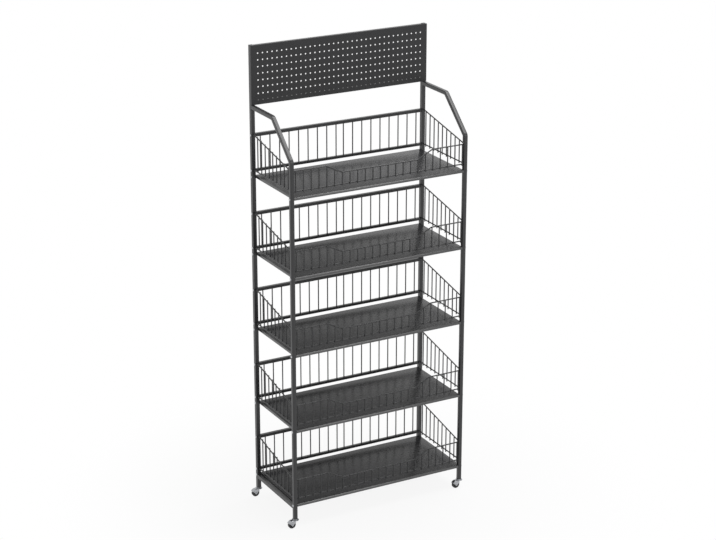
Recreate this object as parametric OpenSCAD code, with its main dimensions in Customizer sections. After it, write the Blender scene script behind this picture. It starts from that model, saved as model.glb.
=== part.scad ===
// Five-tier retail display rack on castors: two bent tube side frames, five sheet trays,
// wire guards round each tray, and a perforated header board on its own plug-in legs.
// X runs left to right, Y from front to rear, Z up. The floor is at Z = 0, and the origin
// lies on the floor under the middle of the whole outline, castors included.

/* [Frame] */
// Width over the outer faces of the side frames
rack_w = 750; // [500:10:1200]
// Depth over the outer faces of the front and rear uprights
rack_d = 332; // [260:2:500]
// Side of the square frame tube
tube = 15; // [14:0.5:20]
// Wall of the square frame tube
tube_wall = 1.2; // [0.8:0.1:1.8]
// Height of the lower end of the uprights above the floor
leg_bottom = 38; // [38:1:44]
// Height of the top of the shoulder arms above the top shelf
arm_rise = 273; // [261:1:311]
// Height above the top shelf of the outer corner where a front upright bends back
bend_rise = 138; // [121:1:151]
// Distance of the upper bend's outer corner from the front face
bend_reach = 146; // [130:1:165]
// Height of the underside of the bottom side rails
rail_low = 79; // [70:1:81]

/* [Shelves] */
// Height of the lowest shelf's surface
shelf_low = 98.6; // [98:0.2:106]
// Spacing of the shelves
tier_pitch = 307.6; // [290:0.2:312]
// Thickness of the shelf sheet
sheet = 1; // [0.8:0.1:1.5]
// Height of the turned-down shelf edge
lip_h = 10; // [10:0.5:12]
// Outer radius of the shelf's bent side edges
lip_r = 1.6; // [1.6:0.1:2]
// Outer radius of the shelf's rolled front and rear edges
roll_r = 3.5; // [2:0.1:4]
// Distance of the shelf's rear edge from the rear plane
shelf_rear_gap = 2; // [1:0.5:2]

/* [Back guards] */
// Height of the back guard's top above the shelf
back_h = 162.5; // [150:0.5:170]
// Side of the back guard's square top rail
back_rail = 12; // [11:0.5:13]
// Side of the back guard's square bottom rail
back_low_rail = 10; // [9:0.5:11]
// Wall of the back guard's rails
rail_wall = 1; // [0.8:0.1:1.2]
// Height of the bottom rail's underside above the shelf
back_low_z = 14.5; // [12:0.5:16]
// Spacing of the back guard's wires
back_pitch = 40.1; // [36:0.1:41]
// Spacing of the two middle wires of the back guard
back_mid = 31.7; // [28:0.1:38]
// Distance of the outermost back wire from the upright
back_end = 23.35; // [15:0.05:30]
// Distance of the back guard's wires from the rear plane
back_wire_y = 10; // [8:0.5:10]

/* [Wire guards] */
// Diameter of the upright guard wires
wire_d = 4.5; // [3.5:0.1:5]
// Diameter of the long guard wires
edge_d = 5; // [4:0.1:5.5]
// How far crossing wires sink into each other at a weld
weld = 0.5; // [0.3:0.1:0.8]
// How far the long wires reach into the uprights
wire_plug = 4; // [3:0.5:4]
// Radial clearance of a wire end in its hole
wire_fit = 0.4; // [0.3:0.1:0.6]
// Height of the bottom wire's centre above the shelf
low_wire_z = 22; // [20:0.5:26]
// How far the upright wires reach below the bottom wire's centre
wire_tail = 5; // [4:0.5:8]
// Height of the front guard's outer stretches above the shelf
front_high = 99.5; // [90:0.5:110]
// Height of the front guard's middle stretch above the shelf
front_low = 67.7; // [50:0.1:80]
// Spacing of the front guard's upright wires
front_pitch = 32.1; // [28:0.1:32.5]
// Distance of the outermost front wire from the upright
front_end = 6.9; // [5:0.1:15]
// Share of the front guard that its low middle takes
scoop_share = 0.45; // [0.3:0.05:0.6]
// Wire spacings over which the scoop climbs to its full height
scoop_climb = 2; // [1:1:3]
// Radius of the bends in the front guard's top wire
bend_r = 15; // [8:1:25]
// Height of the side guard's top wire above the shelf at the rear upright
side_rear = 161; // [150:0.5:166]
// Spacing of the side guard's upright wires
side_pitch = 31.1; // [28:0.1:32]
// Distance of the outermost side wire from the upright
side_end = 26.6; // [15:0.1:30]

/* [Header] */
// Height of the header board
header_h = 226; // [180:1:260]
// Gap between the top of the arms and the header board
header_gap = 1; // [0.5:0.5:3]
// Depth of the header board's folded edges, sheet included
header_fold = 5; // [5:0.5:8]
// Thickness of the header sheet
header_sheet = 1; // [0.8:0.1:1.5]
// Diameter of the header's holes
hole_d = 5.6; // [4:0.2:8]
// Spacing of the holes along the header
hole_pitch_x = 19.8; // [19:0.1:20]
// Spacing of the rows of holes
hole_pitch_z = 25.4; // [20:0.1:26]
// Least distance of a hole's centre from the board's ends
hole_edge = 20; // [15:0.5:28]
// Height of the lowest row above the board's lower edge
hole_row_z = 17.1; // [12:0.1:20]
// How far the header leg plugs into its upright
spigot = 60; // [30:1:90]
// Clearance all round of a plug in a tube
plug_fit = 0.2; // [0.1:0.05:0.4]

/* [Fasteners] */
// Bolt diameter
bolt_d = 4; // [3.5:0.1:4.5]
// Diameter of the clearance holes for the bolts
bolt_hole = 4.6; // [4.6:0.1:5]
// Diameter of the bolt's head
head_d = 9.4; // [8:0.1:10]
// Height of the bolt's head
head_h = 2.8; // [2:0.1:3.5]
// Width of the weld nuts across their flats
nut_w = 7; // [6.5:0.1:7.2]
// Thickness of the weld nuts
nut_t = 3.2; // [2.4:0.1:3.2]
// Clearance all round of a thread
thread_fit = 0.1; // [0.05:0.05:0.2]
// Length of a threaded plug in a guard rail
rail_plug = 14; // [10:1:20]

/* [Castors] */
// Diameter of the wheel
wheel_d = 30; // [28:0.5:31]
// Width of the wheel
wheel_w = 12; // [10:0.5:13]
// Distance of the wheel's axle behind the swivel axis
trail = 15; // [13:0.5:16]
// Diameter of the axle
axle_d = 4; // [3:0.5:5]
// Sheet thickness of the castor's hood
hood_t = 1.5; // [1:0.1:1.8]
// Gap between the wheel's tread and the hood
tread_gap = 1.3; // [1:0.1:1.4]
// Gap between the wheel's side and the hood
side_gap = 1.2; // [0.8:0.1:2]
// Diameter of the hood's swivel plate
plate_d = 28; // [24:0.5:30]
// Thickness of the hood's swivel plate
plate_t = 2; // [1.5:0.1:2]
// Diameter of the castor's stem
stem_d = 8; // [7:0.1:9]
// Length of the stem above its flange
stem_l = 26; // [20:1:34]
// Diameter of the swivel pin
swivel_d = 6; // [5:0.5:7]
// Diameter of the stem's flange
flange_d = 20; // [18:0.5:24]
// Radial running clearance of the axle and of the swivel pin
run_fit = 0.08; // [0.05:0.01:0.1]
// Gap between faces that turn on each other
face_gap = 0.3; // [0.2:0.05:0.4]

/* [Hidden] */
$fn = 48;
tiers = 5;

// How far pieces of one solid overlap, and how far a cut runs past the face that it opens
eps = 0.01;
over = 1;
half_w = rack_w / 2;
half_d = rack_d / 2;
inner_x = half_w - tube;
mid_x = half_w - tube / 2;
mid_y = half_d - tube / 2;
front_y = -half_d;
rear_face = half_d - tube;

// Heights of the shelves, top tier first, and of the shoulders above them
shelf_z = [for (i = [0 : tiers - 1]) shelf_low + (tiers - 1 - i) * tier_pitch];
arm_top = shelf_z[0] + arm_rise;
bend_low = shelf_z[0] + bend_rise;

// Slope of the shoulder's steep stretch, and half the turn at each of its bends
bend_high_y = front_y + bend_reach;
slope = atan2(arm_top - bend_low, bend_reach);
turn_low = (90 - slope) / 2;
turn_high = slope / 2;

// How far below the middle of the shelf's edge its bolts sit, so that the nuts clear the sheet above
nut_room = 0.5;
bolt_drop = lip_h / 2 + nut_room;

// Wires on each side of the middle and their even spacing, from the room and the spacing asked for
front_half = round((inner_x - front_end) / front_pitch);
front_step = (inner_x - front_end) / front_half;
side_half = round((rear_face - side_end) / side_pitch);
side_step = (rear_face - side_end) / side_half;
back_room = inner_x - back_end - back_mid / 2;
back_last = round(back_room / back_pitch);
back_step = back_room / back_last;

// How much deeper a wire's hole is than the wire's end
hole_spare = 1;

// How far a shelf bolt shows past its nut, a guard bolt stops short of its plug's end, and heads taper
bolt_show = 1;
head_taper = 2;
bolt_short = 3;
top_rail_z = back_h - back_rail / 2;
low_rail_z = back_low_z + back_low_rail / 2;
cross = (edge_d + wire_d) / 2 - weld;
side_slope = atan2(side_rear - front_high, 2 * rear_face);

// How far an upright wire runs past the centre of the wire on which it ends
wire_over = 1;

// Front guard's scoop, whose top wire bends at four places
scoop_in = round(scoop_share * front_half);
scoop_out = scoop_in + scoop_climb;
scoop_in_x = scoop_in * front_step;
scoop_out_x = scoop_out * front_step;
scoop_turn = atan2(front_high - front_low, scoop_out_x - scoop_in_x);
bend_cut = bend_r * tan(scoop_turn / 2);
bend_swell = 0.1;

// Header
cap_t = 1.5;
header_low = arm_top + header_gap;
header_top = header_low + header_h;
leg_top = header_top - cap_t;
header_front = rear_face - header_fold;
header_bolt_in = 22;
grip_l = 20;
cap_plug_l = 12;
screw_spare = 0.5;
header_bolt_z = [header_low + header_bolt_in, header_top - header_bolt_in];
hole_cols = 2 * floor((half_w - hole_edge) / hole_pitch_x + 0.5);
hole_rows = floor((header_h - 2 * hole_row_z) / hole_pitch_z) + 1;

// Castor stack, from the floor up
wheel_r = wheel_d / 2;
hood_r = wheel_r + tread_gap + hood_t;
hood_half = wheel_w / 2 + side_gap + hood_t;
plug_flange = 1.5;
flange_t = 3.2;
flange_low = leg_bottom - plug_flange - flange_t;
plate_top = flange_low - face_gap;
plate_low = plate_top - plate_t;
rivet_t = 1;
rivet_d = swivel_d + 3;
axle_head_d = axle_d + 2.4;
axle_head_t = 1;
rivet_room = rivet_t + 2 * face_gap;

// Hood's side view, from the axle: the leg's end, the skirt's height and the legs' half width there
ear_r = 4.5;
skirt_low = 8;
skirt_half = 12.5;

// Wheel's hub, the depth and slopes of its dished ring, the boss inside it, and the tread's bevel
hub_d = 17;
hub_dish = 1.2;
dish_lip = 0.6;
dish_foot = 2;
boss_in = 3;
tread_edge = 1.5;
plug_len = 32;
stem_spare = 2;
castor_x = [-mid_x, mid_x, -mid_x, mid_x];
castor_y = [-mid_y, -mid_y, mid_y, mid_y];

// The castors trail to the left, so the outline's middle lies left of the frame's middle
castor_reach = trail + max(wheel_r, sqrt(hood_r * hood_r - skirt_low * skirt_low));
outline_shift = (castor_reach - plate_d / 2) / 2;

// Helpers

// Draws a left-hand piece, or its mirror image on the right
module on_side(side) {
    if (side < 0) children();
    else mirror([1, 0, 0]) children();
}

// A round bar from a to b
module bar(a, b, d) {
    run = b - a;
    translate(a) rotate([0, acos(run[2] / norm(run)), atan2(run[1], run[0])]) cylinder(d = d, h = norm(run));
}

// A square tube that runs along X, centred on the origin's YZ
module tube_x(length, size, wall) {
    difference() {
        translate([-length / 2, -size / 2, -size / 2]) cube([length, size, size]);
        translate([-length / 2 - over, -size / 2 + wall, -size / 2 + wall])
            cube([length + 2 * over, size - 2 * wall, size - 2 * wall]);
    }
}

// Extrudes an outline drawn in Y and Z over the left frame tube's width, less an inset each side
module frame_profile(points, inset) {
    translate([-half_w + inset, 0, 0]) rotate([90, 0, 90])
        linear_extrude(tube - 2 * inset) polygon(points);
}

// Corners of the two bends, at a depth from the tube's outer face
function low_corner(depth) = [front_y + depth, bend_low - depth * tan(turn_low)];
function high_corner(depth) = [bend_high_y + depth * tan(turn_high), arm_top - depth];

// Round hole through a tube along X
module hole_x(y, z, d) {
    translate([-half_w - over, y, z]) rotate([0, 90, 0]) cylinder(d = d, h = tube + 2 * over);
}

// Clearance holes for the long wires' ends, in the left side frame
module front_wire_holes(z) {
    for (h = [low_wire_z, front_high])
        bar([-mid_x, -mid_y, z + h], [over - inner_x, -mid_y, z + h], edge_d + 2 * wire_fit);
}
module side_wires(z, d, reach) {
    y_end = rear_face + reach;
    rise = reach * tan(side_slope);
    bar([-mid_x, -y_end, z + low_wire_z], [-mid_x, y_end, z + low_wire_z], d);
    bar([-mid_x, -y_end, z + front_high - rise], [-mid_x, y_end, z + side_rear + rise], d);
}

// Side frames

module rear_upright(side) {
    color([0.17, 0.17, 0.18]) on_side(side) difference() {
        translate([-half_w, rear_face, leg_bottom]) cube([tube, tube, arm_top - leg_bottom]);
        translate([-half_w + tube_wall, rear_face + tube_wall, leg_bottom - over])
            cube([tube - 2 * tube_wall, tube - 2 * tube_wall, arm_top - leg_bottom + 2 * over]);
        for (z = shelf_z) {
            hole_x(mid_y, z - bolt_drop, bolt_hole);
            hole_x(mid_y, z + top_rail_z, bolt_hole);
            hole_x(mid_y, z + low_rail_z, bolt_hole);
            side_wires(z, edge_d + 2 * wire_fit, wire_plug + hole_spare);
        }
    }
}

module front_upright(side) {
    color([0.17, 0.17, 0.18]) on_side(side) difference() {
        frame_profile([
            [front_y, leg_bottom], low_corner(0), low_corner(tube), [front_y + tube, leg_bottom]
        ], 0);
        frame_profile([
            [front_y + tube_wall, leg_bottom - over],
            low_corner(tube_wall) + [0, over],
            low_corner(tube - tube_wall) + [0, over],
            [front_y + tube - tube_wall, leg_bottom - over]
        ], tube_wall);
        for (z = shelf_z) {
            hole_x(-mid_y, z - bolt_drop, bolt_hole);
            side_wires(z, edge_d + 2 * wire_fit, wire_plug + hole_spare);
            front_wire_holes(z);
        }
    }
}

module shoulder_slope(side) {
    along = [cos(slope), sin(slope)] * over;
    color([0.3, 0.3, 0.31]) on_side(side) difference() {
        frame_profile([low_corner(0), high_corner(0), high_corner(tube), low_corner(tube)], 0);
        frame_profile([
            low_corner(tube_wall) - along,
            high_corner(tube_wall) + along,
            high_corner(tube - tube_wall) + along,
            low_corner(tube - tube_wall) - along
        ], tube_wall);
    }
}

module shoulder_arm(side) {
    color([0.2, 0.2, 0.21]) on_side(side) difference() {
        frame_profile([
            high_corner(0), [rear_face, arm_top], [rear_face, arm_top - tube], high_corner(tube)
        ], 0);
        frame_profile([
            high_corner(tube_wall) - [over, 0],
            [rear_face + over, arm_top - tube_wall],
            [rear_face + over, arm_top - tube + tube_wall],
            high_corner(tube - tube_wall) - [over, 0]
        ], tube_wall);
    }
}

module bottom_rail(side) {
    color([0.17, 0.17, 0.18]) on_side(side)
        translate([-mid_x, 0, rail_low + tube / 2]) rotate([0, 0, 90]) tube_x(2 * rear_face, tube, tube_wall);
}

// Header

module header_leg(side) {
    inside = tube - 2 * tube_wall;
    grip = inside + tube_wall / 2;
    color([0.17, 0.17, 0.18]) on_side(side) difference() {
        union() {
            difference() {
                translate([-half_w, rear_face, arm_top]) cube([tube, tube, leg_top - arm_top]);
                translate([-half_w + tube_wall, rear_face + tube_wall, arm_top - over])
                    cube([inside, inside, leg_top - arm_top + 2 * over]);
            }
            translate([-mid_x - grip / 2, mid_y - grip / 2, arm_top]) cube([grip, grip, grip_l]);
            translate([-mid_x - inside / 2 + plug_fit, mid_y - inside / 2 + plug_fit, arm_top - spigot])
                cube([inside - 2 * plug_fit, inside - 2 * plug_fit, spigot + grip_l]);
        }
        for (z = header_bolt_z)
            translate([-mid_x, rear_face - over, z]) rotate([-90, 0, 0])
                cylinder(d = bolt_hole, h = tube + 2 * over);
    }
}

module header_bar(z) {
    color([0.17, 0.17, 0.18]) translate([0, mid_y, z]) tube_x(2 * inner_x, tube, tube_wall);
}

module header_board() {
    color([0.25, 0.25, 0.26]) difference() {
        translate([-half_w, header_front, header_low]) cube([rack_w, header_fold, header_h]);
        translate([-half_w + header_sheet, header_front + header_sheet, header_low + header_sheet])
            cube([rack_w - 2 * header_sheet, header_fold, header_h - 2 * header_sheet]);
        for (c = [0 : hole_cols - 1], r = [0 : hole_rows - 1])
            translate([
                (c - (hole_cols - 1) / 2) * hole_pitch_x, header_front - over,
                header_low + hole_row_z + r * hole_pitch_z
            ]) rotate([-90, 0, 0]) cylinder(d = hole_d, h = header_sheet + 2 * over, $fn = 16);
    }
}

module header_leg_caps() {
    inside = tube - 2 * tube_wall - 2 * plug_fit;
    color([0.1, 0.1, 0.1]) for (side = [-1, 1]) on_side(side) union() {
        translate([-half_w, rear_face, leg_top]) cube([tube, tube, cap_t]);
        translate([-mid_x - inside / 2, mid_y - inside / 2, leg_top - cap_plug_l])
            cube([inside, inside, cap_plug_l + eps]);
    }
}

// Shelves

// Section of a tray, with rounded upper corners
module tray_section(width, height, radius) {
    translate([-width / 2, -height]) square([width, height - radius]);
    translate([-width / 2 + radius, -height]) square([width - 2 * radius, height]);
    for (s = [-1, 1]) translate([s * (width / 2 - radius), -radius]) circle(r = radius);
}

module tray_block(width, depth, height, side_r, front_r) {
    intersection() {
        translate([0, depth / 2, 0]) rotate([90, 0, 0])
            linear_extrude(depth) tray_section(width, height, side_r);
        translate([-width / 2, 0, 0]) rotate([90, 0, 90])
            linear_extrude(width) tray_section(depth, height, front_r);
    }
}

module shelf(z) {
    width = 2 * (inner_x - plug_fit);
    depth = rack_d - shelf_rear_gap;
    color([0.3, 0.3, 0.31]) translate([0, -shelf_rear_gap / 2, z]) difference() {
        tray_block(width, depth, lip_h, lip_r, roll_r);
        translate([0, 0, -sheet])
            tray_block(width - 2 * sheet, depth - 2 * sheet, lip_h, lip_r - sheet, roll_r - sheet);
        for (y = [-mid_y, mid_y], s = [-1, 1])
            translate([s * (width / 2 + over), y + shelf_rear_gap / 2, -bolt_drop]) rotate([0, -s * 90, 0])
                cylinder(d = bolt_hole, h = sheet + 2 * over);
    }
}

// Guards

module back_guard(z) {
    length = 2 * (inner_x - plug_fit);
    wire_low = z + back_low_z + back_low_rail - rail_wall / 2;
    wire_high = z + back_h - back_rail + rail_wall / 2;
    color([0.22, 0.22, 0.23]) union() {
        translate([0, mid_y, z + top_rail_z]) tube_x(length, back_rail, rail_wall);
        translate([0, mid_y, z + low_rail_z]) tube_x(length, back_low_rail, rail_wall);
        for (s = [-1, 1], k = [0 : back_last])
            translate([s * (back_mid / 2 + k * back_step), half_d - back_wire_y, wire_low])
                cylinder(d = wire_d, h = wire_high - wire_low);
    }
}

// Height of the front guard's top wire above the shelf, at a wire's count from the middle
function scoop(k) =
    abs(k) <= scoop_in ? front_low :
    abs(k) >= scoop_out ? front_high :
    front_low + (front_high - front_low) * (abs(k) - scoop_in) / (scoop_out - scoop_in);

// A bend of a long wire in the plane of X and Z, about a centre, from an angle on through the scoop's turn
module wire_bend(x, z, from) {
    translate([x, 0, z]) rotate([90, 0, 0]) rotate([0, 0, from])
        rotate_extrude(angle = scoop_turn) translate([bend_r, 0]) circle(d = edge_d + bend_swell);
}

// The front guard's top wire: low in the middle, where goods are reached, and high towards the ends
module scoop_wire() {
    cut_x = bend_cut * cos(scoop_turn);
    cut_z = bend_cut * sin(scoop_turn);
    bar([bend_cut - scoop_in_x, 0, front_low], [scoop_in_x - bend_cut, 0, front_low], edge_d);
    for (side = [0, 1]) mirror([side, 0, 0]) {
        wire_bend(scoop_in_x - bend_cut, front_low + bend_r, -90);
        bar([scoop_in_x + cut_x, 0, front_low + cut_z], [scoop_out_x - cut_x, 0, front_high - cut_z], edge_d);
        wire_bend(scoop_out_x + bend_cut, front_high - bend_r, 90);
        bar([scoop_out_x + bend_cut, 0, front_high], [inner_x + wire_plug, 0, front_high], edge_d);
    }
}

module front_guard(z) {
    end_x = inner_x + wire_plug;
    color([0.2, 0.2, 0.21]) translate([0, -mid_y, z]) union() {
        bar([-end_x, 0, low_wire_z], [end_x, 0, low_wire_z], edge_d);
        scoop_wire();
        for (k = [-front_half : front_half])
            translate([k * front_step, -cross, low_wire_z - wire_tail])
                cylinder(d = wire_d, h = scoop(k) - low_wire_z + wire_tail + wire_over);
    }
}

module side_guard(side, z) {
    color([0.2, 0.2, 0.21]) on_side(side) union() {
        side_wires(z, edge_d, wire_plug);
        for (k = [-side_half : side_half])
            translate([-mid_x + cross, k * side_step, z + low_wire_z - wire_tail])
                cylinder(d = wire_d, h = (front_high + side_rear) / 2 + k * side_step * tan(side_slope)
                    - low_wire_z + wire_tail + wire_over);
    }
}

// Fasteners

// A pan-head bolt along +X, with the underside of its head at the origin
module bolt(length) {
    rotate([0, 90, 0]) union() {
        cylinder(d = bolt_d, h = length);
        translate([0, 0, -head_h]) cylinder(d1 = head_d - head_taper, d2 = head_d, h = head_h / 2);
        translate([0, 0, -head_h / 2]) cylinder(d = head_d, h = head_h / 2);
    }
}

// A hexagonal nut along +X, with a plain bore
module nut() {
    rotate([0, 90, 0]) difference() {
        cylinder(d = nut_w / cos(30), h = nut_t, $fn = 6);
        translate([0, 0, -over]) cylinder(d = bolt_d + 2 * thread_fit, h = nut_t + 2 * over);
    }
}

module shelf_bolts() {
    length = tube + plug_fit + sheet + nut_t + bolt_show;
    color([0.6, 0.6, 0.62]) for (z = shelf_z, y = [-mid_y, mid_y], side = [-1, 1])
        on_side(side) translate([-half_w, y, z - bolt_drop]) bolt(length);
}

module guard_bolts() {
    length = tube + rail_plug - bolt_short;
    color([0.6, 0.6, 0.62]) for (z = shelf_z, h = [top_rail_z, low_rail_z], side = [-1, 1])
        on_side(side) translate([-half_w, mid_y, z + h]) bolt(length);
}

// One threaded plug, pressed into the end of a guard rail
module rail_end(z, rail) {
    size = rail - 2 * rail_wall - thread_fit;
    translate([-inner_x + plug_fit, mid_y, z]) difference() {
        translate([0, -size / 2, -size / 2]) cube([rail_plug, size, size]);
        translate([-over, 0, 0]) rotate([0, 90, 0])
            cylinder(d = bolt_d + 2 * thread_fit, h = rail_plug + 2 * over);
    }
}

module guard_rail_plugs() {
    color([0.5, 0.5, 0.5]) for (z = shelf_z, side = [-1, 1]) on_side(side) {
        rail_end(z + top_rail_z, back_rail);
        rail_end(z + low_rail_z, back_low_rail);
    }
}

module weld_nuts() {
    color([0.6, 0.6, 0.62]) {
        for (z = shelf_z, y = [-mid_y, mid_y], side = [-1, 1])
            on_side(side) translate([-inner_x + plug_fit + sheet, y, z - bolt_drop]) nut();
        for (z = header_bolt_z, side = [-1, 1])
            on_side(side) translate([-mid_x, header_front + header_sheet, z]) rotate([0, 0, 90]) nut();
    }
}

module header_screws() {
    length = tube + header_fold - header_sheet - screw_spare;
    color([0.6, 0.6, 0.62]) for (z = header_bolt_z, side = [-1, 1])
        on_side(side) translate([-mid_x, half_d, z]) rotate([0, 0, -90]) bolt(length);
}

// Castors

// A square plug that closes a leg's lower end and holds the castor's stem
module leg_plugs() {
    body = tube - 2 * tube_wall - 2 * plug_fit;
    color([0.08, 0.08, 0.08]) for (i = [0 : 3]) translate([castor_x[i], castor_y[i], 0]) difference() {
        union() {
            translate([-tube / 2, -tube / 2, leg_bottom - plug_flange]) cube([tube, tube, plug_flange]);
            translate([-body / 2, -body / 2, leg_bottom - eps]) cube([body, body, plug_len]);
        }
        translate([0, 0, leg_bottom - plug_flange - over])
            cylinder(d = stem_d + 2 * thread_fit, h = stem_l + stem_spare + over);
    }
}

module castor_stems() {
    color([0.65, 0.65, 0.66]) for (i = [0 : 3]) translate([castor_x[i], castor_y[i], 0]) union() {
        translate([0, 0, flange_low]) cylinder(d = flange_d, h = flange_t);
        translate([0, 0, flange_low + flange_t - eps]) cylinder(d = stem_d, h = stem_l);
        translate([0, 0, plate_low - face_gap])
            cylinder(d = swivel_d, h = flange_low - plate_low + face_gap + eps);
        translate([0, 0, plate_low - face_gap - rivet_t]) cylinder(d = rivet_d, h = rivet_t);
    }
}

// Side view of the hood about the axle: a skirt over the wheel's top and two legs that taper to the axle
module hood_outline() {
    circle(r = ear_r);
    polygon([[-ear_r, 0], [ear_r, 0], [skirt_half, skirt_low], [-skirt_half, skirt_low]]);
    translate([-hood_r, skirt_low]) square([2 * hood_r, hood_r]);
}

// A pressed hood whose two legs carry the axle, with its round swivel plate
module castor_hood(i) {
    color([0.7, 0.7, 0.71]) translate([castor_x[i], castor_y[i], 0]) difference() {
        union() {
            translate([0, 0, plate_low]) cylinder(d = plate_d, h = plate_t);
            translate([-trail, hood_half, wheel_r]) rotate([90, 0, 0]) intersection() {
                cylinder(r = hood_r, h = 2 * hood_half);
                linear_extrude(2 * hood_half) hood_outline();
            }
        }
        translate([-trail, hood_half - hood_t, wheel_r]) rotate([90, 0, 0])
            cylinder(r = hood_r - hood_t, h = 2 * (hood_half - hood_t));
        translate([-trail, hood_half + over, wheel_r]) rotate([90, 0, 0])
            cylinder(d = axle_d + 2 * thread_fit, h = 2 * (hood_half + over));
        translate([0, 0, plate_low - over]) cylinder(d = swivel_d + 2 * run_fit, h = plate_t + 2 * over);
        translate([0, 0, plate_low - rivet_room])
            cylinder(d = rivet_d + 2 * face_gap, h = rivet_room);
    }
}

module castor_axle(i) {
    centre = [castor_x[i] - trail, castor_y[i], wheel_r];
    color([0.6, 0.6, 0.62]) translate(centre) rotate([90, 0, 0]) union() {
        translate([0, 0, -hood_half]) cylinder(d = axle_d, h = 2 * hood_half);
        for (s = [-1, 1]) translate([0, 0, s * (hood_half + axle_head_t / 2)])
            cylinder(d = axle_head_d, h = axle_head_t, center = true);
    }
}

module castor_wheel(i) {
    half = wheel_w / 2;
    bore_r = axle_d / 2 + run_fit;
    ring_r = hub_d / 2;
    color([0.06, 0.06, 0.06]) translate([castor_x[i] - trail, castor_y[i], wheel_r]) rotate([90, 0, 0])
        rotate_extrude() polygon([
            [bore_r, -half], [ring_r - boss_in, -half], [ring_r - dish_foot, -half + hub_dish],
            [ring_r, -half + hub_dish], [ring_r + dish_lip, -half], [wheel_r - tread_edge, -half],
            [wheel_r, -half + tread_edge], [wheel_r, half - tread_edge], [wheel_r - tread_edge, half],
            [ring_r + dish_lip, half], [ring_r, half - hub_dish], [ring_r - dish_foot, half - hub_dish],
            [ring_r - boss_in, half], [bore_r, half]
        ]);
}

// Puts a piece where the shared origin wants it
module placed() {
    translate([outline_shift, 0, 0]) children();
}

placed() rear_upright(-1);  // rear_upright_left
placed() rear_upright(1);  // rear_upright_right
placed() front_upright(-1);  // front_upright_left
placed() front_upright(1);  // front_upright_right
placed() shoulder_slope(-1);  // shoulder_slope_left
placed() shoulder_slope(1);  // shoulder_slope_right
placed() shoulder_arm(-1);  // shoulder_arm_left
placed() shoulder_arm(1);  // shoulder_arm_right
placed() bottom_rail(-1);  // bottom_rail_left
placed() bottom_rail(1);  // bottom_rail_right
placed() header_leg(-1);  // header_leg_left
placed() header_leg(1);  // header_leg_right
placed() header_bar(leg_top - tube / 2);  // header_top_bar
placed() header_bar(header_low + tube / 2);  // header_bottom_bar
placed() header_board();
placed() header_leg_caps();
placed() shelf(shelf_z[0]);  // shelf_1
placed() shelf(shelf_z[1]);  // shelf_2
placed() shelf(shelf_z[2]);  // shelf_3
placed() shelf(shelf_z[3]);  // shelf_4
placed() shelf(shelf_z[4]);  // shelf_5
placed() back_guard(shelf_z[0]);  // back_guard_1
placed() back_guard(shelf_z[1]);  // back_guard_2
placed() back_guard(shelf_z[2]);  // back_guard_3
placed() back_guard(shelf_z[3]);  // back_guard_4
placed() back_guard(shelf_z[4]);  // back_guard_5
placed() front_guard(shelf_z[0]);  // front_guard_1
placed() front_guard(shelf_z[1]);  // front_guard_2
placed() front_guard(shelf_z[2]);  // front_guard_3
placed() front_guard(shelf_z[3]);  // front_guard_4
placed() front_guard(shelf_z[4]);  // front_guard_5
placed() side_guard(-1, shelf_z[0]);  // side_guard_left_1
placed() side_guard(-1, shelf_z[1]);  // side_guard_left_2
placed() side_guard(-1, shelf_z[2]);  // side_guard_left_3
placed() side_guard(-1, shelf_z[3]);  // side_guard_left_4
placed() side_guard(-1, shelf_z[4]);  // side_guard_left_5
placed() side_guard(1, shelf_z[0]);  // side_guard_right_1
placed() side_guard(1, shelf_z[1]);  // side_guard_right_2
placed() side_guard(1, shelf_z[2]);  // side_guard_right_3
placed() side_guard(1, shelf_z[3]);  // side_guard_right_4
placed() side_guard(1, shelf_z[4]);  // side_guard_right_5
placed() castor_hood(0);  // castor_hood_front_left
placed() castor_hood(1);  // castor_hood_front_right
placed() castor_hood(2);  // castor_hood_rear_left
placed() castor_hood(3);  // castor_hood_rear_right
placed() castor_wheel(0);  // castor_wheel_front_left
placed() castor_wheel(1);  // castor_wheel_front_right
placed() castor_wheel(2);  // castor_wheel_rear_left
placed() castor_wheel(3);  // castor_wheel_rear_right
placed() castor_axle(0);  // castor_axle_front_left
placed() castor_axle(1);  // castor_axle_front_right
placed() castor_axle(2);  // castor_axle_rear_left
placed() castor_axle(3);  // castor_axle_rear_right
placed() castor_stems();
placed() leg_plugs();
placed() shelf_bolts();
placed() guard_bolts();
placed() guard_rail_plugs();
placed() weld_nuts();
placed() header_screws();
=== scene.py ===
import math

import bmesh
import bpy
from mathutils import Matrix, Vector


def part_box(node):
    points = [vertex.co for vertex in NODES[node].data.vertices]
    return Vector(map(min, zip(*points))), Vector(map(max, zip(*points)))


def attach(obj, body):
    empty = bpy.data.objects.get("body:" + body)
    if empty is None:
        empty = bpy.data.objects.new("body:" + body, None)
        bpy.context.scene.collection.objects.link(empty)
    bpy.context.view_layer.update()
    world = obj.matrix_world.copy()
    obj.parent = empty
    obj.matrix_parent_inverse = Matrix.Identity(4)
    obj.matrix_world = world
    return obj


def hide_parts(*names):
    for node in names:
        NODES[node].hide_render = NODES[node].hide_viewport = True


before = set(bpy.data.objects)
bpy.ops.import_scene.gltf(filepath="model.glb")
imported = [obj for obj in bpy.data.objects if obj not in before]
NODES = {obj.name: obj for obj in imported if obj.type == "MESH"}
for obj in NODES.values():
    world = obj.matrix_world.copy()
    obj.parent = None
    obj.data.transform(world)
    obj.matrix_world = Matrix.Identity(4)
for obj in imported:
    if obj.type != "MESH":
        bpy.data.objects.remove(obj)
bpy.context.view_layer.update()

SIDES = ("left", "right")
CORNERS = ("front_left", "front_right", "rear_left", "rear_right")
TIERS = range(1, 6)

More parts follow.
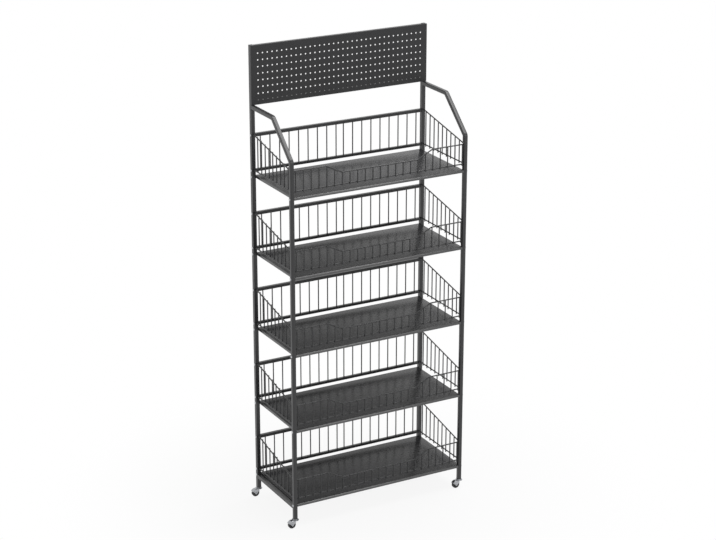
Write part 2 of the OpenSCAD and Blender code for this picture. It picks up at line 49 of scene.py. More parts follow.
# Sizes read from the frame, in metres
REAR_LOW, REAR_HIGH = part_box("rear_upright_left")
FRONT_LOW, FRONT_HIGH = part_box("front_upright_left")
LEFT_X = REAR_LOW.x
RIGHT_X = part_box("rear_upright_right")[1].x
MIDDLE_X = (LEFT_X + RIGHT_X) / 2
FRONT_Y = (FRONT_LOW.y + FRONT_HIGH.y) / 2
REAR_Y = (REAR_LOW.y + REAR_HIGH.y) / 2
TUBE = REAR_HIGH.x - REAR_LOW.x


# Shader maths: a socket that takes part in ordinary expressions
class Val:
    def __init__(self, tree, socket):
        self.tree = tree
        self.socket = socket

    def _maths(self, operation, *operands):
        node = self.tree.nodes.new("ShaderNodeMath")
        node.operation = operation
        for slot, operand in zip(node.inputs, operands):
            self.tree.feed(slot, operand)
        return Val(self.tree, node.outputs[0])

    def __add__(self, other):
        return self._maths("ADD", self, other)

    def __radd__(self, other):
        return self._maths("ADD", other, self)

    def __mul__(self, other):
        return self._maths("MULTIPLY", self, other)

    def __rmul__(self, other):
        return self._maths("MULTIPLY", other, self)

    def step(self, low, high):
        """Goes smoothly from 0 at low to 1 at high."""
        node = self.tree.nodes.new("ShaderNodeMapRange")
        node.interpolation_type = "SMOOTHSTEP"
        self.tree.feed(node.inputs["Value"], self)
        node.inputs["From Min"].default_value = low
        node.inputs["From Max"].default_value = high
        return Val(self.tree, node.outputs["Result"])


class Finish:
    """A material being built: its tree, its shader and short ways to add nodes."""

    def __init__(self, name):
        self.material = bpy.data.materials.new(name)
        self.material.use_nodes = True
        self.nodes = self.material.node_tree.nodes
        self.links = self.material.node_tree.links
        self.shader = self.nodes["Principled BSDF"]
        self.place = self.node("ShaderNodeTexCoord").outputs["Object"]

    def feed(self, slot, value):
        if isinstance(value, Val):
            self.links.new(value.socket, slot)
        elif isinstance(value, bpy.types.NodeSocket):
            self.links.new(value, slot)
        elif slot.type == "RGBA" and len(value) == 3:
            slot.default_value = (*value, 1.0)
        else:
            slot.default_value = value

    def node(self, kind, settings=None, **inputs):
        made = self.nodes.new(kind)
        for key, value in (settings or {}).items():
            setattr(made, key, value)
        for key, value in inputs.items():
            self.feed(made.inputs[key.replace("_", " ")], value)
        return made

    def noise(self, scale, detail=3.0, roughness=0.55, stretch=None):
        place = self.place
        if stretch:
            place = self.node("ShaderNodeMapping", Vector=place, Scale=stretch).outputs[0]
        made = self.node("ShaderNodeTexNoise", Vector=place, Scale=scale, Detail=detail, Roughness=roughness)
        return Val(self, made.outputs[0])

    def mix(self, factor, first, second):
        made = self.node("ShaderNodeMix", {"data_type": "RGBA"})
        colours = [slot for slot in made.inputs if slot.type == "RGBA"]
        self.feed(made.inputs[0], factor)
        self.feed(colours[0], first)
        self.feed(colours[1], second)
        return next(slot for slot in made.outputs if slot.type == "RGBA")

    def facing_up(self):
        normal = self.node("ShaderNodeNewGeometry").outputs["Normal"]
        return Val(self, self.node("ShaderNodeSeparateXYZ", Vector=normal).outputs["Z"])

    def bump(self, height, distance, strength):
        made = self.node("ShaderNodeBump", Height=height)
        made.inputs["Strength"].default_value = strength
        made.inputs["Distance"].default_value = distance
        self.feed(self.shader.inputs["Normal"], made.outputs[0])

    def set(self, **inputs):
        for key, value in inputs.items():
            self.feed(self.shader.inputs[key.replace("_", " ")], value)


# Finishes
COAT_DEEP = 0.86
COAT_PALE = 1.16
DUST_AND_TOP_LIGHT_TONE = (0.16, 0.155, 0.15)
ZINC_DULL = 0.72
SCRATCH_RUN = (1.0, 0.15, 1.0)
SCUFF_GAIN = 1.9
SCUFF_LIFT = 0.01


def shade(tone, factor, lift=0.0):
    return tuple(min(1.0, channel * factor + lift) for channel in tone)


def powder_coat(name, tone, sheen, grain, shine=0.5, relief=0.00005, dust_and_top_light_share=0.10):
    """Charcoal powder coat: an orange-peel skin, with what faces up made lighter by a little dust and painted
    light from above.
    """
    finish = Finish(name)
    peel = finish.noise(scale=grain, detail=2.0, roughness=0.5)
    fine = finish.noise(scale=grain * 4, detail=1.0, roughness=0.4)
    cloud = finish.noise(scale=9.0, detail=4.0)
    # Up-facing faces are painted lighter: partly real dust, partly painted light from above.
    upward = finish.facing_up().step(0.6, 1.0)
    dust_and_top_light = upward * finish.noise(scale=35.0, detail=5.0, roughness=0.65).step(0.35, 0.75)
    colour = finish.mix(cloud, shade(tone, COAT_DEEP), shade(tone, COAT_PALE))
    colour = finish.mix(dust_and_top_light * dust_and_top_light_share, colour, DUST_AND_TOP_LIGHT_TONE)
    finish.set(Base_Color=colour, Roughness=sheen + peel * 0.06 + cloud * 0.05 + dust_and_top_light * 0.05)
    finish.shader.inputs["Specular IOR Level"].default_value = shine
    finish.bump(height=peel * 0.7 + fine * 0.3, distance=relief, strength=0.4)
    return finish.material


def zinc_plate(name, tone, sheen):
    """Bright zinc: faintly mottled, with fine scratches."""
    finish = Finish(name)
    mottle = finish.noise(scale=160.0, detail=4.0, roughness=0.6)
    scratch = finish.noise(scale=900.0, detail=2.0, roughness=0.5, stretch=SCRATCH_RUN)
    colour = finish.mix(mottle.step(0.3, 0.8), shade(tone, ZINC_DULL), tone)
    finish.set(Base_Color=colour, Metallic=1.0, Roughness=sheen + mottle * 0.14 + scratch * 0.08)
    finish.bump(height=mottle * 0.5 + scratch * 0.5, distance=0.00008, strength=0.5)
    return finish.material


def moulded(name, tone, sheen, grain=700.0):
    """Moulded plastic or rubber with a fine matt skin and scuffs."""
    finish = Finish(name)
    skin = finish.noise(scale=grain, detail=3.0, roughness=0.6)
    scuff = finish.noise(scale=55.0, detail=5.0, roughness=0.7).step(0.52, 0.8)
    colour = finish.mix(scuff * 0.5, tone, shade(tone, SCUFF_GAIN, SCUFF_LIFT))
    finish.set(Base_Color=colour, Roughness=sheen + skin * 0.12 + scuff * 0.1)
    finish.bump(height=skin, distance=0.00006, strength=0.6)
    return finish.material


COAT_FRAME = powder_coat("frame_powder_coat", (0.027, 0.027, 0.0285), sheen=0.25, grain=900.0)
COAT_SHEET = powder_coat("sheet_powder_coat", (0.025, 0.025, 0.0265), sheen=0.20, grain=800.0,
                         shine=0.17, relief=0.000005, dust_and_top_light_share=0.05)
# A lighter, glossier copy of the sheet coat for the trays' lips, rolls and folds: painted light standing in
# for the lit lip and its highlight.
COAT_EDGE_PAINTED_LIGHT = powder_coat("edge_powder_coat_painted_light", (0.034, 0.034, 0.0355), sheen=0.22, grain=800.0,
                        shine=1.0, relief=0.000005, dust_and_top_light_share=0.05)
COAT_HEADER = powder_coat("header_powder_coat", (0.034, 0.034, 0.0355), sheen=0.34, grain=800.0, shine=0.28)
COAT_WIRE = powder_coat("wire_powder_coat", (0.027, 0.027, 0.0285), sheen=0.25, grain=1200.0)
ZINC = zinc_plate("bright_zinc", (0.46, 0.47, 0.49), sheen=0.17)
ZINC_BOLT = zinc_plate("bolt_zinc", (0.62, 0.63, 0.65), sheen=0.24)
NYLON = moulded("black_nylon", (0.018, 0.018, 0.019), sheen=0.42)
TREAD = moulded("tread_rubber", (0.020, 0.020, 0.021), sheen=0.52, grain=500.0)
HUB = moulded("hub_plastic", (0.16, 0.16, 0.165), sheen=0.4)

# Which finish each CAD node wears, by how its name starts. All other nodes are frame tube.
WORN = (
    (("shelf_bolts", "guard_bolts", "header_screws"), ZINC_BOLT),
    (("castor_hood", "castor_axle", "castor_stems", "weld_nuts"), ZINC),
    (("castor_wheel",), TREAD),
    (("leg_plugs", "header_leg_caps", "guard_rail_plugs"), NYLON),
    (("shelf_",), COAT_SHEET),
    (("header_board",), COAT_HEADER),
    (("back_guard_", "front_guard_", "side_guard_"), COAT_WIRE),
)
for name, node in NODES.items():
    finish = next((worn for starts, worn in WORN if name.startswith(starts)), COAT_FRAME)
    node.data.materials.clear()
    node.data.materials.append(finish)


# Shapes
TUBE_ROUND = 0.0018
END_BREAK = 0.0003
SMOOTH_BELOW = math.radians(35.0)
SAME_SPOT = 1e-6


def runs_along(edge, axis):
    return abs((edge.verts[0].co - edge.verts[1].co).normalized()[axis]) > 0.99


def edges_of(verts):
    return list(dict.fromkeys(edge for vert in verts for edge in vert.link_edges))


def round_edges(bm, edges, radius, steps=3):
    bmesh.ops.bevel(bm, geom=edges, offset=radius, offset_type="OFFSET", segments=steps, profile=0.5,
                    affect="EDGES", material=-1, clamp_overlap=True)


def cuboid(bm, low, high):
    place = Matrix.Translation((low + high) / 2) @ Matrix.Diagonal((*(high - low), 1.0))
    return bmesh.ops.create_cube(bm, size=1.0, matrix=place)["verts"]


def block(bm, low, high, axis, corner, end=END_BREAK):
    """A square bar along an axis: its long edges rounded like drawn tube, its ends just broken."""
    edges = edges_of(cuboid(bm, low, high))
    longs = [edge for edge in edges if runs_along(edge, axis)]
    ends = [edge for edge in edges if edge not in longs]
    round_edges(bm, ends, end, 1)
    round_edges(bm, [edge for edge in longs if edge.is_valid], corner)


def rod(bm, start, end, radius, sides=12, rim=0.0, rim_steps=2, tip=None):
    """A round bar between two points, with its end rims rounded if asked."""
    run = end - start
    place = Matrix.Translation((start + end) / 2) @ run.to_track_quat("Z", "Y").to_matrix().to_4x4()
    made = bmesh.ops.create_cone(bm, cap_ends=True, segments=sides, radius1=radius,
                                 radius2=radius if tip is None else tip, depth=run.length, matrix=place)
    if rim:
        along = run.normalized()
        rims = [edge for edge in edges_of(made["verts"])
                if abs((edge.verts[0].co - edge.verts[1].co).normalized().dot(along)) < 0.01]
        round_edges(bm, rims, rim, rim_steps)
    return made["verts"]


def rod_up(bm, x, y, low_z, high_z, radius, **shape):
    rod(bm, Vector((x, y, low_z)), Vector((x, y, high_z)), radius, **shape)


def rod_across(bm, axle, start_y, end_y, radius, **shape):
    """A rod along Y on the middle line of an axle."""
    rod(bm, Vector((axle.x, start_y, axle.z)), Vector((axle.x, end_y, axle.z)), radius, **shape)


def push(bm, face, step):
    made = bmesh.ops.extrude_face_region(bm, geom=[face])["geom"]
    bmesh.ops.translate(bm, verts=[part for part in made if isinstance(part, bmesh.types.BMVert)], vec=step)
    return next(part for part in made if isinstance(part, bmesh.types.BMFace))


def swing(bm, face, centre, angle, steps=8):
    made = bmesh.ops.spin(bm, geom=[face], cent=centre, axis=(1.0, 0.0, 0.0), angle=angle, steps=steps,
                          use_merge=False, use_normal_flip=False, use_duplicate=False)["geom_last"]
    return next(part for part in made if isinstance(part, bmesh.types.BMFace))


def piece(name, bm, material, body="frame", replaced=()):
    """Finishes a mesh and puts it on its body in place of the CAD nodes that it stands for."""
    bmesh.ops.remove_doubles(bm, verts=bm.verts, dist=SAME_SPOT)
    bmesh.ops.recalc_face_normals(bm, faces=bm.faces)
    mesh = bpy.data.meshes.new(name)
    bm.to_mesh(mesh)
    bm.free()
    mesh.materials.append(material)
    mesh.polygons.foreach_set("use_smooth", [True] * len(mesh.polygons))
    mesh.set_sharp_from_angle(angle=SMOOTH_BELOW)
    made = bpy.data.objects.new(name, mesh)
    bpy.context.scene.collection.objects.link(made)
    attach(made, body)
    if replaced:
        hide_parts(*replaced)
    return made


# Side frames: each front tube is one length that bends twice
BEND_R = 0.014


def bent_front_tube(side):
    low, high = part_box(f"front_upright_{side}")
    arm_low, arm_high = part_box(f"shoulder_arm_{side}")
    slope = math.atan2(arm_high.z - high.z, arm_low.y - low.y)
    turn_low = math.pi / 2 - slope
    turn_high = slope
    half = TUBE / 2
    corner_low = Vector((0.0, low.y + half, high.z - half * math.tan(turn_low / 2)))
    corner_high = Vector((0.0, arm_low.y + half * math.tan(turn_high / 2), arm_high.z - half))
    cut_low = BEND_R * math.tan(turn_low / 2)
    cut_high = BEND_R * math.tan(turn_high / 2)
    up = Vector((0.0, 0.0, 1.0))
    back = Vector((0.0, 1.0, 0.0))
    climb = Vector((0.0, math.cos(slope), math.sin(slope)))
    bm = bmesh.new()
    place = Matrix.Translation(((low.x + high.x) / 2, low.y + half, low.z))
    verts = bmesh.ops.create_grid(bm, x_segments=1, y_segments=1, size=half, matrix=place)["verts"]
    bmesh.ops.bevel(bm, geom=verts, offset=TUBE_ROUND, offset_type="OFFSET", segments=4, profile=0.5,
                    affect="VERTICES", material=-1)
    face = next(iter(bm.faces))
    face = push(bm, face, up * (corner_low.z - cut_low - low.z))
    face = swing(bm, face, corner_low - up * cut_low + back * BEND_R, -turn_low)
    face = push(bm, face, climb * ((corner_high - corner_low).length - cut_low - cut_high))
    face = swing(bm, face, corner_high + back * cut_high - up * BEND_R, -turn_high)
    push(bm, face, back * (arm_high.y - corner_high.y - cut_high))
    piece(f"bent_side_tube_{side}", bm, COAT_FRAME,
          replaced=(f"front_upright_{side}", f"shoulder_slope_{side}", f"shoulder_arm_{side}"))


def straight_tube(name, axis):
    low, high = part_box(name)
    bm = bmesh.new()
    block(bm, low, high, axis, TUBE_ROUND)
    piece(f"{name}_tube", bm, COAT_FRAME, replaced=(name,))


for side in SIDES:
    bent_front_tube(side)
    straight_tube(f"rear_upright_{side}", 2)
    straight_tube(f"bottom_rail_{side}", 1)
for bar in ("header_top_bar", "header_bottom_bar"):
    straight_tube(bar, 0)


# Header legs with their caps
CAP_BREAK = 0.0006


def header_leg(side):
    """The part of the leg that shows above the rear upright."""
    low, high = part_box(f"header_leg_{side}")
    upright_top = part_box(f"rear_upright_{side}")[1].z
    bm = bmesh.new()
    block(bm, Vector((low.x, low.y, upright_top)), high, 2, TUBE_ROUND)
    piece(f"header_leg_{side}_tube", bm, COAT_FRAME, replaced=(f"header_leg_{side}",))


def leg_caps():
    caps_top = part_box("header_leg_caps")[1].z
    bm = bmesh.new()
    for side in SIDES:
        low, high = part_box(f"header_leg_{side}")
        foot = Vector((low.x, low.y, high.z))
        block(bm, foot, Vector((high.x, high.y, caps_top)), 2, TUBE_ROUND, CAP_BREAK)
    piece("header_leg_cap_pair", bm, NYLON, replaced=("header_leg_caps",))


for side in SIDES:
    header_leg(side)
leg_caps()


# Back guards: two rounded rails and the wires between them
BACK_WIRE_R = 0.00225
BACK_WIRES = 9
BACK_PITCH = 0.0401
BACK_MID = 0.0317
BACK_WIRE_IN = 0.010
BACK_RAIL = 0.012
BACK_RAIL_ROUND = 0.0014
BACK_LOW_RAIL = 0.010
BACK_LOW_RAIL_ROUND = 0.0012
WIRE_SINK = 0.0004
BEAD_SINK = 0.0002
BEAD_H = 0.0013
BEAD_FLARE = 0.0011


def back_guard(tier):
    """Welded guard: each wire ends in a rail at both ends, with a bead around the joint."""
    name = f"back_guard_{tier}"
    low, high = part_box(name)
    middle_y = (low.y + high.y) / 2
    wire_y = REAR_HIGH.y - BACK_WIRE_IN
    low_rail_top = low.z + BACK_LOW_RAIL
    top_rail_foot = high.z - BACK_RAIL
    bm = bmesh.new()
    block(bm, Vector((low.x, low.y, top_rail_foot)), high, 0, BACK_RAIL_ROUND)
    block(bm, Vector((low.x, middle_y - BACK_LOW_RAIL / 2, low.z)),
          Vector((high.x, middle_y + BACK_LOW_RAIL / 2, low_rail_top)), 0, BACK_LOW_RAIL_ROUND)
    for sign in (-1, 1):
        for count in range(BACK_WIRES):
            x = MIDDLE_X + sign * (BACK_MID / 2 + count * BACK_PITCH)
            rod_up(bm, x, wire_y, low_rail_top - WIRE_SINK, top_rail_foot + WIRE_SINK, BACK_WIRE_R)
            for joint_z, lift in ((low_rail_top, 1), (top_rail_foot, -1)):
                rod_up(bm, x, wire_y, joint_z - BEAD_SINK * lift, joint_z + BEAD_H * lift,
                       BACK_WIRE_R + BEAD_FLARE, tip=BACK_WIRE_R)
    piece(f"{name}_welded", bm, COAT_WIRE, replaced=(name,))


for tier in TIERS:
    back_guard(tier)


# Shelves: sheet trays, rolled over at the front and rear and folded at the sides
SHEET = 0.001
ROLL_R = 0.0056
ROLL_STEPS = 8
FOLD_R = 0.0016
FOLD_STEPS = 3
FLAT_ENOUGH = 0.99


def shelf_tray(tier):
    low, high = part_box(f"shelf_{tier}")
    bm = bmesh.new()
    verts = cuboid(bm, low, high)
    under = min(bm.faces, key=lambda face: face.calc_center_median().z)
    bmesh.ops.delete(bm, geom=[under], context="FACES_ONLY")
    rolled = [edge for edge in edges_of(verts) if runs_along(edge, 0) and edge.verts[0].co.z > high.z - FOLD_R]
    round_edges(bm, rolled, ROLL_R, ROLL_STEPS)
    for side_x in (low.x, high.x):
        folded = [edge for edge in bm.edges if not edge.is_boundary and not runs_along(edge, 2)
                  and all(abs(vert.co.x - side_x) < FOLD_R / 2 for vert in edge.verts)]
        round_edges(bm, folded, FOLD_R, FOLD_STEPS)
    bmesh.ops.recalc_face_normals(bm, faces=bm.faces)
    bmesh.ops.solidify(bm, geom=list(bm.faces), thickness=SHEET)
    # Every face that is not flat wears the lighter edge coat: painted light on the lips and rolls.
    for face in bm.faces:
        face.material_index = 0 if abs(face.normal.z) > FLAT_ENOUGH else 1
    tray = piece(f"shelf_{tier}_tray", bm, COAT_SHEET, replaced=(f"shelf_{tier}",))
    tray.data.materials.append(COAT_EDGE_PAINTED_LIGHT)


for tier in TIERS:
    shelf_tray(tier)


# Bolts: domed heads with a hexagonal socket
HEAD_R = 0.0047
HEAD_H = 0.0028
HEAD_SIDES = 24
DOME_R = 0.0013
DOME_STEPS = 4
DOME_RIM = 0.0006
SOCKET_R = 0.0018
SOCKET_DEPTH = 0.0014
HEX_TURN = math.radians(60)
SHELF_BOLT_DROP = 0.0055


def farthest(faces, way):
    return max(faces, key=lambda face: face.calc_center_median().dot(way))


def bolt_head(bm, seat, outward):
    """A head whose flat top is inset, drawn in to a hexagon and pushed down as the socket."""
    made = rod(bm, seat, seat + outward * HEAD_H, HEAD_R, HEAD_SIDES)
    ends = [face for vert in made for face in vert.link_faces if len(face.verts) > 4]
    round_edges(bm, list(farthest(ends, outward).edges), DOME_R, DOME_STEPS)
    near = [face for face in bm.faces if len(face.verts) == HEAD_SIDES
            and (face.calc_center_median() - seat).length < 2 * HEAD_H]
    top = farthest(near, outward)
    bmesh.ops.inset_region(bm, faces=[top], thickness=DOME_RIM, use_even_offset=True)
    centre = top.calc_center_median()
    start = (top.verts[0].co - centre).normalized()
    across = outward.cross(start)
    for vert in top.verts:
        spoke = vert.co - centre
        angle = math.atan2(spoke.dot(across), spoke.dot(start)) % HEX_TURN - HEX_TURN / 2
        vert.co = centre + spoke.normalized() * SOCKET_R * math.cos(HEX_TURN / 2) / math.cos(angle)
    push(bm, top, outward * -SOCKET_DEPTH)


def side_bolts(name, made_name, heights, ys):
    bm = bmesh.new()
    for x, sign in ((LEFT_X, -1), (RIGHT_X, 1)):
        for z in heights:
            for y in ys:
                bolt_head(bm, Vector((x, y, z)), Vector((sign, 0.0, 0.0)))
    piece(made_name, bm, ZINC_BOLT, replaced=(name,))


def header_bolts():
    low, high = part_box("header_screws")
    bm = bmesh.new()
    for x in (LEFT_X + TUBE / 2, RIGHT_X - TUBE / 2):
        for z in (low.z + HEAD_R, high.z - HEAD_R):
            bolt_head(bm, Vector((x, REAR_HIGH.y, z)), Vector((0.0, 1.0, 0.0)))
    piece("header_screw_heads", bm, ZINC_BOLT, replaced=("header_screws",))


shelf_bolt_heights = [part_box(f"shelf_{tier}")[1].z - SHELF_BOLT_DROP for tier in TIERS]
guard_boxes = [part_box(f"back_guard_{tier}") for tier in TIERS]
guard_bolt_heights = [high.z - BACK_RAIL / 2 for low, high in guard_boxes]
guard_bolt_heights += [low.z + BACK_LOW_RAIL / 2 for low, high in guard_boxes]
side_bolts("shelf_bolts", "shelf_bolt_heads", shelf_bolt_heights, (FRONT_Y, REAR_Y))
side_bolts("guard_bolts", "guard_bolt_heads", guard_bolt_heights, (REAR_Y,))
header_bolts()


# Castors: plugs and stems in the legs
PLUG_BREAK = 0.0005
RACE_GAP = 0.0003
RACE_R = 0.010
RACE_ROUND = 0.0007
PIN_R = 0.003
PIN_LAP = 0.001
RIVET_FLARE = 0.0015
RIVET_H = 0.001
RIVET_ROUND = 0.0004


def leg_centre(corner):
    x = RIGHT_X - TUBE / 2 if corner.endswith("right") else LEFT_X + TUBE / 2
    y = FRONT_Y if corner.startswith("front") else REAR_Y
    return x, y


def leg_plugs():
    plug_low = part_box("leg_plugs")[0].z
    half = TUBE / 2
    bm = bmesh.new()
    for corner in CORNERS:
        x, y = leg_centre(corner)
        block(bm, Vector((x - half, y - half, plug_low)), Vector((x + half, y + half, FRONT_LOW.z)), 2,
              TUBE_ROUND, PLUG_BREAK)
    piece("leg_end_plugs", bm, NYLON, replaced=("leg_plugs",))


def castor_stems():
    """Under each plug a race cup, and below it the pin that the hood turns on, riveted over at its end."""
    pin_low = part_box("castor_stems")[0].z
    plug_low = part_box("leg_plugs")[0].z
    bm = bmesh.new()
    for corner in CORNERS:
        x, y = leg_centre(corner)
        cup_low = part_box(f"castor_hood_{corner}")[1].z + RACE_GAP
        rod_up(bm, x, y, cup_low, plug_low, RACE_R, sides=40, rim=RACE_ROUND, rim_steps=3)
        rod_up(bm, x, y, pin_low, cup_low + PIN_LAP, PIN_R, sides=24)
        rod_up(bm, x, y, pin_low, pin_low + RIVET_H, PIN_R + RIVET_FLARE, sides=24, rim=RIVET_ROUND)
    piece("castor_race_cups", bm, ZINC, replaced=("castor_stems",))


# Castors: hoods and axles
PLATE_T = 0.002
PLATE_ROUND = 0.0006
HOOD_T = 0.0015
HOOD_HALF = 0.0087
HOOD_ROUND = 0.0022
TREAD_GAP = 0.0013
SKIRT_LOW = 0.008
LEG_HALF = 0.0125
LEG_LAP = 0.0006
LEG_INSET = 0.00006
EAR_R = 0.0045
EAR_STEPS = 16
AXLE_R = 0.002
AXLE_HEAD_ROUND = 0.0006


def hood_leg(bm, axle, face_y, inward):
    """One leg of the hood: from the skirt it narrows to a rounded end that holds the axle."""
    outline = [(LEG_HALF, SKIRT_LOW + LEG_LAP), (-LEG_HALF, SKIRT_LOW + LEG_LAP), (-LEG_HALF, SKIRT_LOW)]
    for step in range(EAR_STEPS + 1):
        turn = math.pi * (1 + step / EAR_STEPS)
        outline.append((EAR_R * math.cos(turn), EAR_R * math.sin(turn)))
    outline.append((LEG_HALF, SKIRT_LOW))
    verts = [bm.verts.new((axle.x + x, face_y, axle.z + z)) for x, z in outline]
    push(bm, bm.faces.new(verts), Vector((0.0, inward * HOOD_T, 0.0)))


def castor_hood(corner):
    """A round hood over the wheel, cut off at its skirt, with a swivel plate and two legs."""
    name = f"castor_hood_{corner}"
    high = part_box(name)[1]
    wheel_low, wheel_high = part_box(f"castor_wheel_{corner}")
    axle = (wheel_low + wheel_high) / 2
    x, y = leg_centre(corner)
    hood_r = (wheel_high.z - wheel_low.z) / 2 + TREAD_GAP + HOOD_T
    bm = bmesh.new()
    rod_across(bm, axle, y - HOOD_HALF, y + HOOD_HALF, hood_r, sides=64, rim=HOOD_ROUND, rim_steps=4)
    skirt = Vector((axle.x, y, axle.z + SKIRT_LOW))
    geom = list(bm.verts) + list(bm.edges) + list(bm.faces)
    bmesh.ops.bisect_plane(bm, geom=geom, plane_co=skirt, plane_no=(0.0, 0.0, -1.0), clear_outer=True)
    bmesh.ops.recalc_face_normals(bm, faces=bm.faces)
    bmesh.ops.solidify(bm, geom=list(bm.faces), thickness=HOOD_T)
    rod_up(bm, x, y, high.z - PLATE_T, high.z, high.x - x, sides=56, rim=PLATE_ROUND, rim_steps=3)
    for sign in (-1, 1):
        hood_leg(bm, axle, y + sign * (HOOD_HALF - LEG_INSET), -sign)
    piece(f"{name}_pressed", bm, ZINC, f"castor_{corner}", (name,))


def castor_axle(corner):
    name = f"castor_axle_{corner}"
    low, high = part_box(name)
    centre = (low + high) / 2
    head_r = (high.z - low.z) / 2
    near_y = centre.y - HOOD_HALF
    far_y = centre.y + HOOD_HALF
    bm = bmesh.new()
    for seat_y, tip_y in ((near_y, low.y), (far_y, high.y)):
        rod_across(bm, centre, seat_y, tip_y, head_r, sides=24, rim=AXLE_HEAD_ROUND, rim_steps=3)
    rod_across(bm, centre, near_y, far_y, AXLE_R, sides=20)
    piece(f"{name}_rivet", bm, ZINC, f"castor_{corner}", (name,))


# Castors: wheels, with a ribbed hub in each face
WHEEL_SIDES = 64
TYRE_ROUND = 0.0018
HUB_R = 0.0085
HUB_DISH = 0.0012
HUB_LAP = 0.0004
HUB_ROOM = 0.0001
HUB_ROUND = 0.0003
DISC_INSET = 0.0006
BOSS_R = 0.0034
HUB_RIBS = 10
RIB_START = 0.0030
RIB_LENGTH = 0.0046
RIB_R = 0.0005
RIB_ROUND = 0.0002


def hub_face(bm, centre, face_y, sign):
    base_y = face_y - sign * (HUB_DISH + HUB_LAP)
    disc_y = face_y - sign * DISC_INSET
    rod_across(bm, centre, base_y, disc_y, HUB_R - HUB_ROOM, sides=48, rim=HUB_ROUND)
    for rib in range(HUB_RIBS):
        turn = math.tau * rib / HUB_RIBS
        way = Vector((math.cos(turn), 0.0, math.sin(turn)))
        start = Vector((centre.x, disc_y, centre.z)) + way * RIB_START
        rod(bm, start, start + way * RIB_LENGTH, RIB_R, sides=8, rim=RIB_ROUND, rim_steps=1)
    rod_across(bm, centre, base_y, face_y, BOSS_R, sides=32, rim=HUB_ROUND)


def castor_wheel(corner):
    name = f"castor_wheel_{corner}"
    low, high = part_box(name)
    centre = (low + high) / 2
    radius = (high.z - low.z) / 2
    bm = bmesh.new()
    rod_across(bm, centre, low.y, high.y, radius, sides=WHEEL_SIDES, rim=TYRE_ROUND, rim_steps=4)
    for face in [face for face in bm.faces if len(face.verts) == WHEEL_SIDES]:
        outward = face.normal.copy()
        face_r = (face.verts[0].co - face.calc_center_median()).length
        bmesh.ops.inset_region(bm, faces=[face], thickness=face_r - HUB_R, use_even_offset=True)
        push(bm, face, outward * -HUB_DISH)
    piece(f"{name}_tyre", bm, TREAD, f"wheel_{corner}", (name,))
    bm = bmesh.new()
    for sign, face_y in ((-1, low.y), (1, high.y)):
        hub_face(bm, centre, face_y, sign)
    piece(f"{name}_hub", bm, HUB, f"wheel_{corner}")


leg_plugs()
castor_stems()
for corner in CORNERS:
    castor_hood(corner)
    castor_axle(corner)
    castor_wheel(corner)


# Studio: a pale floor that is nearly white to the eye, soft boxes and a white surround
FLOOR_R = 45.0
GLOW_NEAR = 0.3
GLOW_FAR = 1.3
GLOW_LEAST = 0.9
WHITE = (1.0, 1.0, 1.0)


def studio_floor():
    """The floor keeps the rack's shadow and turns plain white away from it."""
    bm = bmesh.new()
    bmesh.ops.create_circle(bm, cap_ends=True, segments=96, radius=FLOOR_R)
    mesh = bpy.data.meshes.new("studio_floor")
    bm.to_mesh(mesh)
    bm.free()
    floor = bpy.data.objects.new("studio_floor", mesh)
    bpy.context.scene.collection.objects.link(floor)
    finish = Finish("pale_floor")
    finish.set(Base_Color=(0.86, 0.86, 0.86), Roughness=0.9)
    glow = finish.node("ShaderNodeEmission", Color=WHITE, Strength=1.0)
    path = finish.node("ShaderNodeLightPath")
    seen = finish.node("ShaderNodeMath", {"operation": "MAXIMUM"})
    finish.feed(seen.inputs[0], path.outputs["Is Camera Ray"])
    finish.feed(seen.inputs[1], path.outputs["Is Glossy Ray"])
    distance = finish.node("ShaderNodeVectorMath", {"operation": "LENGTH"}, Vector=finish.place)
    far = Val(finish, distance.outputs["Value"]).step(GLOW_NEAR, GLOW_FAR)
    blend = finish.node("ShaderNodeMixShader")
    finish.feed(blend.inputs[0], Val(finish, seen.outputs[0]) * (far * (1.0 - GLOW_LEAST) + GLOW_LEAST))
    finish.links.new(finish.shader.outputs[0], blend.inputs[1])
    finish.links.new(glow.outputs[0], blend.inputs[2])
    finish.links.new(blend.outputs[0], finish.nodes["Material Output"].inputs["Surface"])
    mesh.materials.append(finish.material)


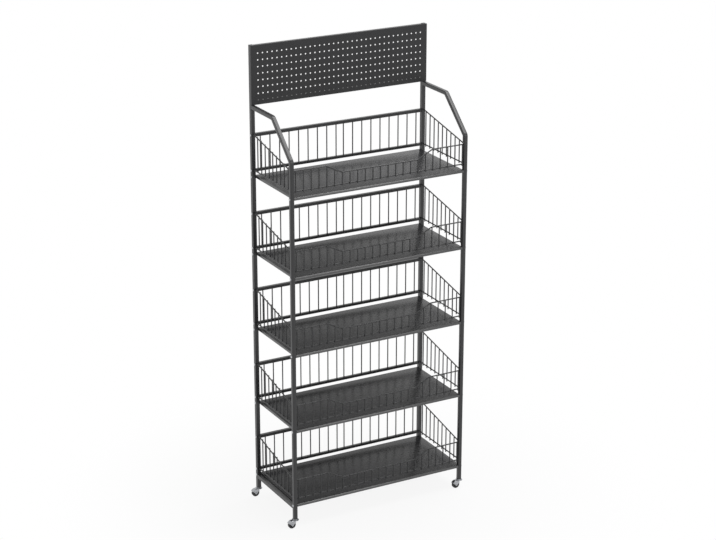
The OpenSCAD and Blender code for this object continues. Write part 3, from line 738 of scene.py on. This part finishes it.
def soft_box(name, place, target, width, height, power):
    light = bpy.data.lights.new(name, "AREA")
    light.shape = "RECTANGLE"
    light.size = width
    light.size_y = height
    light.energy = power
    lamp = bpy.data.objects.new(name, light)
    lamp.location = place
    lamp.rotation_euler = (Vector(target) - Vector(place)).to_track_quat("-Z", "Y").to_euler()
    bpy.context.scene.collection.objects.link(lamp)


def surround(level):
    """A white world: at full strength where it is seen or mirrored, and dimmer as a light."""
    world = bpy.data.worlds.new("studio")
    bpy.context.scene.world = world
    world.use_nodes = True
    tree = world.node_tree
    back = tree.nodes["Background"]
    path = tree.nodes.new("ShaderNodeLightPath")
    strength = back.inputs["Strength"]
    for ray in ("Is Camera Ray", "Is Glossy Ray", "Is Transmission Ray"):
        most = tree.nodes.new("ShaderNodeMath")
        most.operation = "MAXIMUM"
        tree.links.new(path.outputs[ray], most.inputs[0])
        tree.links.new(most.outputs[0], strength)
        strength = most.inputs[1]
    strength.default_value = level
    back.inputs["Color"].default_value = (*WHITE, 1.0)


studio_floor()
surround(0.42)
soft_box("overhead_box", place=(1.3, -0.2, 4.5), target=(0.0, 0.0, 0.9), width=2.8, height=2.2, power=95.0)
soft_box("front_box", place=(1.6, -4.6, 3.0), target=(0.0, 0.0, 1.0), width=2.2, height=2.2, power=30.0)

# Camera: recovered from the photograph's straight edges, its place given from the rack's middle
CAMERA_FOCAL_PX = 2039.106
CAMERA_YAW = 28.774
CAMERA_PITCH = 19.888
CAMERA_ROLL = -0.02
CAMERA_PLACE = Vector((-3.5445, -6.4418, 3.597))
CAMERA_REACH = 200.0
FRAME_WIDTH_PX = 716
SENSOR = 36.0

lens = bpy.data.cameras.new("photo_camera")
lens.sensor_fit = "HORIZONTAL"
lens.sensor_width = SENSOR
lens.lens = CAMERA_FOCAL_PX / FRAME_WIDTH_PX * SENSOR
lens.clip_end = CAMERA_REACH
camera = bpy.data.objects.new("photo_camera", lens)
camera.location = CAMERA_PLACE + Vector((MIDDLE_X, 0.0, 0.0))
camera.rotation_euler = (math.radians(90 - CAMERA_PITCH), math.radians(CAMERA_ROLL), math.radians(-CAMERA_YAW))
bpy.context.scene.collection.objects.link(camera)
bpy.context.scene.camera = camera
bpy.context.scene.view_settings.view_transform = "Standard"
